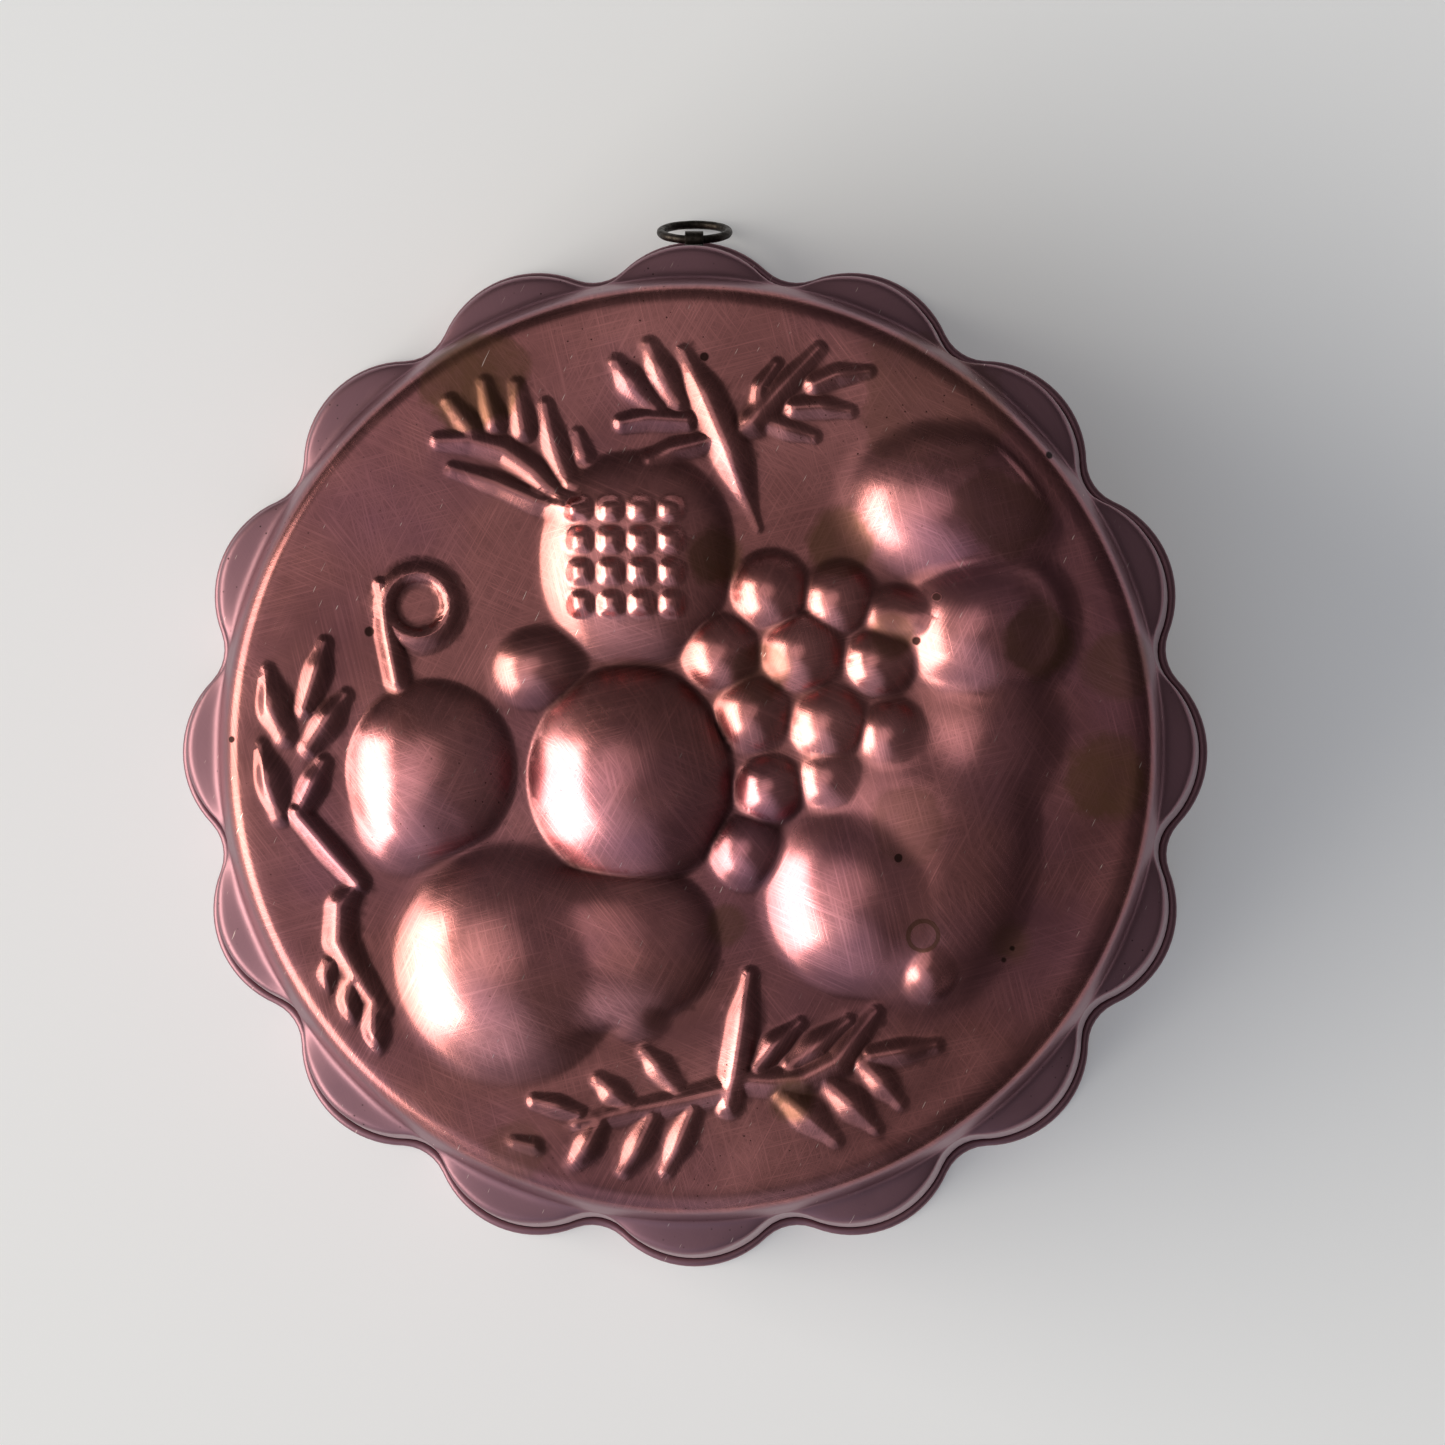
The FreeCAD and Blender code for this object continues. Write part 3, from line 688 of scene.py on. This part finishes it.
def copper_material(colours):
    """Aged pressed copper, often polished by hand: reddish-brown, with a soft shine, fine hairlines from
    the polishing cloth, olive-brown stains, dark dirt and painted shade in the creases and small black pits."""
    material, tree = new_material("aged_copper")
    place = add(tree, "ShaderNodeTexCoord").outputs["Object"]
    broad = clouds(tree, place, 34 * MM, 3.0)
    cloudy = clouds(tree, place, 6 * MM, 6.0, roughness=0.62)
    tone = remap(tree, broad, 0.36, 0.66)
    base = blended(tree, tone, rgba(colours.brown), rgba(colours.copper))
    mottle = remap(tree, cloudy, 0.3, 0.7, to_low=0.84, to_high=1.1)
    base = scaled(tree, base, mottle)

    # Here and there the oxide has gone violet.
    patch = add(tree, "ShaderNodeMapping", {"Vector": place, "Location": (0.3, 0.1, 0.2)}).outputs[0]
    where = clouds(tree, patch, 26 * MM, 4.0)
    violet = remap(tree, where, 0.45, 0.68, to_high=0.75)
    base = blended(tree, violet, base, rgba(colours.violet))

    # The cloth reaches the fruit better than the flat round it, which has stayed browner.
    raised = add(tree, "ShaderNodeAttribute", attribute_name="raised").outputs["Fac"]
    polish = remap(tree, raised, 0.2, 2.4, to_low=0.68, to_high=1.4, interpolation_type="SMOOTHSTEP")
    base = scaled(tree, base, polish)

    # The collar, the ledge and the wall have kept a grey-violet tarnish that the polishing cloth missed.
    level = add(tree, "ShaderNodeSeparateXYZ", {"Vector": place}).outputs["Z"]
    uneven = maths(tree, "MULTIPLY_ADD", cloudy, 1.6 * MM, level)
    missed = remap(tree, uneven, 50.1 * MM, 49.0 * MM)
    base = blended(tree, missed, base, rgba(colours.tarnish))

    hair = hairlines(tree, place)
    kept = remap(tree, missed, to_low=1.0, to_high=0.1)
    hair = maths(tree, "MULTIPLY", hair, kept)
    lighter = remap(tree, hair, to_low=0.88, to_high=1.38)
    base = scaled(tree, base, lighter)

    # A few deeper, brighter nicks.
    lay = stretched(tree, place, NICK_SIZE, NICK_TURN)
    nicks = clouds(tree, lay, 1.0, 1.0)
    nick = remap(tree, nicks, 0.77, 0.8, to_high=0.7)

    above = add(tree, "ShaderNodeVectorMath", {0: place, 1: (1, 1, 0)}, operation="MULTIPLY").outputs[0]
    stain = olive_stains(tree, above, cloudy)
    base = blended(tree, stain, base, rgba(colours.olive))
    # Dirt and painted shade in the creases, with the black spots and pits.
    dark = dirt_and_crease_shade(tree, place, above, broad, cloudy)
    base = blended(tree, dark, base, rgba(colours.dirt_and_shade))
    base = blended(tree, nick, base, rgba(NICK_COLOUR))

    # Stains, tarnish, and the dirt and painted shade in the creases are all duller than the clean copper.
    rough = remap(tree, cloudy, 0.3, 0.7, to_low=0.20, to_high=0.29)
    for dull, amount in ((stain, 0.16), (missed, 0.2), (dark, 0.35)):
        rough = maths(tree, "MULTIPLY_ADD", dull, amount, rough)
    finish_metal(tree, base, rough, hair, 0.5, 0.009)
    return material


def tin_material(colours):
    """Hot-dipped tin, wiped round by hand: dull silvery grey with soft swirls and darker worn places."""
    material, tree = new_material("wiped_tin")
    place = add(tree, "ShaderNodeTexCoord").outputs["Object"]
    swirl = clouds(tree, place, 12 * MM, 4.0, distortion=1.2)
    fine = clouds(tree, place, 0.6 * MM, 2.0)
    shade = remap(tree, swirl, 0.3, 0.7, to_low=0.55)
    base = scaled(tree, colours.tin, shade)
    rough = remap(tree, swirl, to_low=0.48, to_high=0.34)
    finish_metal(tree, base, rough, fine, 0.4, 0.01)
    return material


def rough_metal_material(name, colour, low, high, grain):
    """A small part of dull aged metal: one colour, with rubbed spots that are lighter and shinier."""
    material, tree = new_material(name)
    place = add(tree, "ShaderNodeTexCoord").outputs["Object"]
    grainy = clouds(tree, place, grain * MM, 5.0, roughness=0.65)
    shade = remap(tree, grainy, 0.35, 0.7, to_low=0.5, to_high=1.5)
    base = scaled(tree, colour, shade)
    rough = remap(tree, grainy, 0.3, 0.7, to_low=high, to_high=low)
    finish_metal(tree, base, rough, grainy, 0.6, 0.05)
    return material


# ---------------------------------------------------------------- operators

class MOULD_OT_copper_shell(bpy.types.Operator):
    """Pressed copper sheet: embossed top, collar, fluted wall and the edge rolled round its wire"""
    bl_idname = "mould.copper_shell"
    bl_label = "Copper Shell"

    def execute(self, context):
        sizes = context.scene.mould_sizes
        sheet = sizes.sheet / MM
        angles = ring_angles(sizes.columns)
        bm = bmesh.new()
        add_top(bm, sizes.columns, 0.0, sizes.tolerance, 3)
        rings = wall_rings(angles, 0.0, (7, 4, 6, 5, 7, 16))[:-1]
        rings += roll_rings(angles, WIRE_R + TOUCH_GAP, 180, 360 + ROLL_END, 12)
        rings += roll_rings(angles, WIRE_R + sheet - TOUCH_GAP, ROLL_END, -180, 18)
        inside = wall_rings(angles, sheet, (4, 2, 4, 3, 4, 6))
        rings += inside[-2::-1]
        rings.append((FLAT_R + 0 * angles, TOP_Z - sheet + 0 * angles))
        extrude_rings(bm, open_edge(bm, TOP_Z - 1, TOP_Z + 1), rings, angles)
        add_top(bm, sizes.columns, sheet, 0, 0)
        close_skin(bm)
        finish_piece(bm, "copper_sheet", "mould", [copper_material(context.scene.mould_colours)],
                     "copper_shell")
        return {"FINISHED"}


class MOULD_OT_tin_lining(bpy.types.Operator):
    """Tin lining of the whole inside, down to the rolled rim"""
    bl_idname = "mould.tin_lining"
    bl_label = "Tin Lining"

    def execute(self, context):
        sizes = context.scene.mould_sizes
        sheet, inner = sizes.sheet / MM + TIN_GAP, (sizes.sheet + sizes.tin) / MM
        angles = ring_angles(sizes.columns)
        bm = bmesh.new()
        add_top(bm, sizes.columns, inner, sizes.tolerance * 2.5, 2)
        rings = wall_rings(angles, inner, (4, 2, 5, 4, 5, 10))
        back = wall_rings(angles, sheet, (3, 2, 3, 3, 3, 5))
        rings += back[::-1]
        rings.append((FLAT_R + 0 * angles, TOP_Z - sheet + 0 * angles))
        extrude_rings(bm, open_edge(bm, TOP_Z - 2, TOP_Z + 1), rings, angles)
        add_top(bm, sizes.columns, sheet, 0, 0)
        close_skin(bm)
        finish_piece(bm, "tin_skin", "mould", [tin_material(context.scene.mould_colours)],
                     "tin_lining")
        return {"FINISHED"}


# The hanger, in mm: the strip of the strap, the round of its eye and its tails, and the ring's wire.
STRAP_T, STRAP_W = 0.45, 2.6
STRAP_SHARES = (-0.5, -0.25, 0, 0.25, 0.5)
STRAP_BEVEL = 0.09
EYE_R = 1.225
EYE_STEPS = 18
TAIL = 6.1
RING_WIRE_R = 0.63
HAMMER_DEPTH, HAMMER_GRAIN = 0.05, 1.3
SOLDER = (2.3, 3.2, 0.42)
SOLDER_AT = (0, 3.7, -1.42)
SOLDER_MEAN, SOLDER_SWING, SOLDER_LUMPS = 0.92, 0.16, 2.1


def wall_frame():
    """Where the eye's centre is, with Y up the wall and Z out of it."""
    pivot = Vector(frame["record"]["behaviour"]["joints"][0]["pos_m"]) / MM
    lean = math.atan2(BEAD_PEAK - WIRE_R - LEDGE_PEAK, LEDGE_Z - BEAD_Z)
    up = Vector((0, -math.sin(lean), math.cos(lean)))
    out = Vector((0, math.cos(lean), math.sin(lean)))
    return Matrix.Translation(pivot) @ Matrix((up.cross(out), up, out)).transposed().to_4x4()


def hammer(verts, middles, grain, depth):
    """Dent the surface inward by up to the depth, toward each vertex's own middle."""
    for v, middle in zip(verts, middles):
        dent = depth * (0.5 + 0.5 * noise.noise(v.co / grain))
        v.co += (middle - v.co).normalized() * dent


def strap_strip():
    """The folded strip: up one tail, round the eye and back along the other. Each point of its path is
    how far up the wall, how far out of it, and a share of the full width, as the tails are rounded off."""
    low, high = -EYE_R, -EYE_R + STRAP_T
    meet = math.degrees(math.asin(high / EYE_R))
    path = [(TAIL, low, 0.72), (TAIL - 0.5, low, 1.0), (TAIL / 2, low, 1.0)]
    for i in range(EYE_STEPS + 1):
        a = math.radians(270 + (meet - 270) * i / EYE_STEPS)
        path.append((EYE_R * math.cos(a), EYE_R * math.sin(a), 1.0))
    path += [(TAIL / 2, high, 1.0), (TAIL - 0.9, high, 0.98), (TAIL - 0.3, high, 0.7)]
    bm = bmesh.new()
    across = [bm.verts.new((STRAP_W * share, path[0][0], path[0][1])) for share in STRAP_SHARES]
    edges = [bm.edges.new(pair) for pair in zip(across, across[1:])]
    for along, out, width in path[1:]:
        made = bmesh.ops.extrude_edge_only(bm, edges=edges)["geom"]
        row = [g for g in made if isinstance(g, bmesh.types.BMVert)]
        edges = [g for g in made if isinstance(g, bmesh.types.BMEdge) and g.is_boundary
                 and all(v in row for v in g.verts)]
        row.sort(key=lambda v: v.co.x)
        for v, share in zip(row, STRAP_SHARES):
            v.co = (STRAP_W * share * width, along, out)
    bmesh.ops.scale(bm, vec=(path[0][2], 1, 1), verts=across)
    bmesh.ops.recalc_face_normals(bm, faces=bm.faces)
    bmesh.ops.solidify(bm, geom=bm.faces[:], thickness=STRAP_T * 0.94)
    bmesh.ops.recalc_face_normals(bm, faces=bm.faces)
    sharp = [e for e in bm.edges if len(e.link_faces) == 2 and e.calc_face_angle() > math.radians(50)]
    bmesh.ops.bevel(bm, geom=sharp, offset=STRAP_BEVEL, segments=2, profile=0.5, affect="EDGES",
                    material=-1)
    return bm


class MOULD_OT_hanger(bpy.types.Operator):
    """Folded strap, the solder that holds it, the hanging ring and the finish of the rim's wire"""
    bl_idname = "mould.hanger"
    bl_label = "Hanger"

    def execute(self, context):
        colours = context.scene.mould_colours
        black = rough_metal_material("black_brass", colours.brass, 0.3, 0.6, 0.7)
        place = wall_frame()

        bm = strap_strip()
        bmesh.ops.transform(bm, matrix=place, verts=bm.verts)
        to_metres(bm)
        finish_piece(bm, "folded_strap", "mould", [black], "hanger_strap", 40)

        bm = bmesh.new()
        bmesh.ops.create_icosphere(bm, subdivisions=5, radius=1.0)
        for v in bm.verts:
            v.co *= SOLDER_MEAN + SOLDER_SWING * noise.noise(v.co * SOLDER_LUMPS)
        bmesh.ops.scale(bm, vec=SOLDER, verts=bm.verts)
        bmesh.ops.translate(bm, vec=SOLDER_AT, verts=bm.verts)
        bmesh.ops.transform(bm, matrix=place, verts=bm.verts)
        to_metres(bm)
        solder = rough_metal_material("old_solder", colours.solder, 0.4, 0.6, 0.9)
        finish_piece(bm, "solder_bead", "mould", [solder], "strap_solder")

        low, high = (Vector(corner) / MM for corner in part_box("hanging_ring"))
        middle = (low + high) / 2
        arm = (place.translation - middle).normalized()
        bm = bmesh.new()
        wire = bmesh.ops.create_circle(bm, segments=20, radius=RING_WIRE_R)["verts"]
        across = Vector((1, 0, 0))
        axis = across.cross(arm)
        bmesh.ops.transform(bm, matrix=Matrix((axis, arm, across)).transposed().to_4x4(), verts=wire)
        bmesh.ops.translate(bm, vec=place.translation, verts=wire)
        bmesh.ops.spin(bm, geom=bm.edges[:], cent=middle, axis=axis, angle=2 * math.pi, steps=96,
                       use_merge=True)
        bmesh.ops.recalc_face_normals(bm, faces=bm.faces)
        reach = (place.translation - middle).length
        centres = []
        for v in bm.verts:
            flat = v.co - middle
            flat -= axis * flat.dot(axis)
            centres.append(middle + flat.normalized() * reach)
        hammer(bm.verts, centres, HAMMER_GRAIN, HAMMER_DEPTH)
        to_metres(bm)
        finish_piece(bm, "wire_ring", "ring", [black], "hanging_ring")

        mesh = frame["nodes"]["rim_wire"].data
        mesh.materials.clear()
        mesh.materials.append(rough_metal_material("rim_iron", colours.brass, 0.4, 0.6, 0.8))
        return {"FINISHED"}


CAMERA_AT = (5.1, -5.1, 403.0)       # mm, a little to the right of and below the axis
CAMERA_LOOKS_AT = (4.0, 4.3, 0.0)
CAMERA_LENS = 69.2

# The window: toward where, how far off and how large in metres, watts and colour.
WINDOW = ((-0.898, -0.174, 0.404), 2.5, (3.3, 1.6), 88.0, (1.0, 0.95, 0.80))
# The room's soft glow: toward where, where it starts and is full (as cosines), colour and strength.
ROOM = [
    ((-0.24, 0.12, 0.96), 0.88, 0.99, (1.0, 0.97, 0.95), 0.4),
    ((0.0, 0.0, 1.0), 0.35, 0.95, (1.0, 1.0, 1.0), 0.05),
    ((-0.8, -0.25, 0.55), 0.55, 1.0, (1.0, 0.99, 0.97), 0.45),
    ((-0.5, -0.85, 0.4), 0.55, 0.95, (0.85, 1.0, 1.2), 0.4),
]


def soft_light(name, at, size, watts, colour):
    """A rectangular studio light that faces the mould."""
    data = bpy.data.lights.new(name, "AREA")
    data.shape = "RECTANGLE"
    data.size, data.size_y = size
    data.energy = watts
    data.color = colour
    lamp = bpy.data.objects.new(name, data)
    lamp.location = at
    lamp.rotation_mode = "QUATERNION"
    lamp.rotation_quaternion = (Vector((0, 0, 0.03)) - lamp.location).to_track_quat("-Z", "Y")
    bpy.context.collection.objects.link(lamp)


class MOULD_OT_stage(bpy.types.Operator):
    """Plain pale floor, soft window-like light from the left and the camera above"""
    bl_idname = "mould.stage"
    bl_label = "Stage"

    def execute(self, context):
        colours = context.scene.mould_colours
        material, tree = new_material("pale_floor")
        shader = add(tree, "ShaderNodeBsdfPrincipled", {"Base Color": rgba(colours.floor), "Roughness": 0.9,
                     "Emission Color": (1, 1, 1, 1), "Emission Strength": 0.17})
        add(tree, "ShaderNodeOutputMaterial", {"Surface": shader.outputs[0]})
        bm = bmesh.new()
        bmesh.ops.create_grid(bm, x_segments=1, y_segments=1, size=4.0)
        mesh = bpy.data.meshes.new("floor")
        bm.to_mesh(mesh)
        bm.free()
        mesh.materials.append(material)
        floor = bpy.data.objects.new("floor", mesh)
        bpy.context.collection.objects.link(floor)

        heading, away, size, watts, colour = WINDOW
        soft_light("window", Vector(heading) * away, size, watts, colour)
        world = bpy.data.worlds.new("room")
        world.use_nodes = True
        tree = world.node_tree
        tree.nodes.clear()
        sky = add(tree, "ShaderNodeTexCoord").outputs["Generated"]
        total = add(tree, "ShaderNodeBackground", {"Color": (1, 1, 1, 1), "Strength": 0.075}).outputs[0]
        for heading, low, high, colour, strength in ROOM:
            facing = add(tree, "ShaderNodeVectorMath", {0: sky, 1: Vector(heading).normalized()},
                         operation="DOT_PRODUCT").outputs["Value"]
            fall = remap(tree, facing, low, high, to_high=strength, interpolation_type="SMOOTHSTEP")
            glow = add(tree, "ShaderNodeBackground", {"Color": rgba(colour), "Strength": fall}).outputs[0]
            total = add(tree, "ShaderNodeAddShader", {0: total, 1: glow}).outputs[0]
        add(tree, "ShaderNodeOutputWorld", {"Surface": total})
        context.scene.world = world
        context.scene.view_settings.view_transform = "Standard"

        data = bpy.data.cameras.new("camera")
        data.lens = CAMERA_LENS
        data.clip_start, data.clip_end = 0.01, 20
        camera = bpy.data.objects.new("camera", data)
        camera.location = [v * MM for v in CAMERA_AT]
        ahead = (Vector(CAMERA_LOOKS_AT) - Vector(CAMERA_AT)).normalized()
        right = ahead.cross(Vector((0, 1, 0))).normalized()
        up = right.cross(ahead)
        camera.rotation_mode = "QUATERNION"
        camera.rotation_quaternion = Matrix((right, up, -ahead)).transposed().to_quaternion()
        context.collection.objects.link(camera)
        context.scene.camera = camera
        return {"FINISHED"}


class MOULD_PT_panel(bpy.types.Panel):
    bl_idname = "MOULD_PT_panel"
    bl_label = "Fluted Fruit Mould"
    bl_space_type = "VIEW_3D"
    bl_region_type = "UI"
    bl_category = "Mould"

    def draw(self, context):
        for group in (context.scene.mould_sizes, context.scene.mould_colours):
            for name in group.__annotations__:
                self.layout.prop(group, name)
        for operator in OPERATORS:
            self.layout.operator(operator.bl_idname)


OPERATORS = (MOULD_OT_stage, MOULD_OT_copper_shell, MOULD_OT_tin_lining, MOULD_OT_hanger)
CLASSES = (MouldSizes, MouldColours, *OPERATORS, MOULD_PT_panel)


def register():
    for item in CLASSES:
        bpy.utils.register_class(item)
    bpy.types.Scene.mould_sizes = bpy.props.PointerProperty(type=MouldSizes)
    bpy.types.Scene.mould_colours = bpy.props.PointerProperty(type=MouldColours)


def unregister():
    del bpy.types.Scene.mould_colours
    del bpy.types.Scene.mould_sizes
    for item in reversed(CLASSES):
        bpy.utils.unregister_class(item)


def main():
    register()
    bpy.ops.mould.stage()
    bpy.ops.mould.copper_shell()
    bpy.ops.mould.tin_lining()
    bpy.ops.mould.hanger()


if __name__ == "__main__":
    main()
